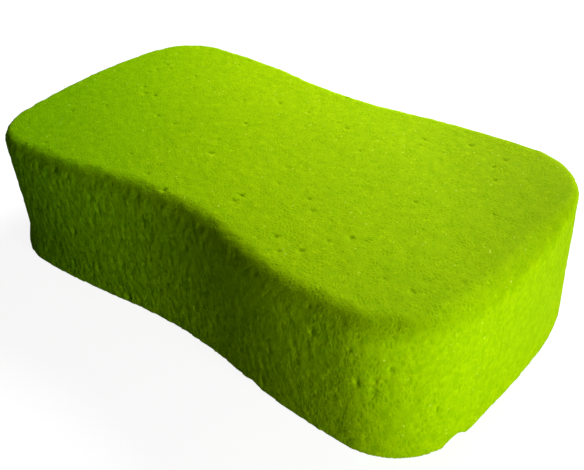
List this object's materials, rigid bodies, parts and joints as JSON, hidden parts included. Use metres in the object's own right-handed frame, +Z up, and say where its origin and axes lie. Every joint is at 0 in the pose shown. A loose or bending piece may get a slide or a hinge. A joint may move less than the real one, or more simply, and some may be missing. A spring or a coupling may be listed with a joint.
{
  "type": "cleaning sponge",
  "caption": "Thick hourglass-shaped block of coarse open-cell foam for washing and wiping, with bowed ends, rounded upright corners and a shallow grip waist on each long side.",
  "frame": {"origin": "centre of the underside, the face that the block rests on", "axes": "+X along the length, +Y across the width, +Z up through the thickness"},
  "size_m": [0.205, 0.106, 0.05],
  "materials": {
    "foam": "matte"
  },
  "bodies": {
    "root": {"foam_block": "foam"}
  },
  "joints": []
}
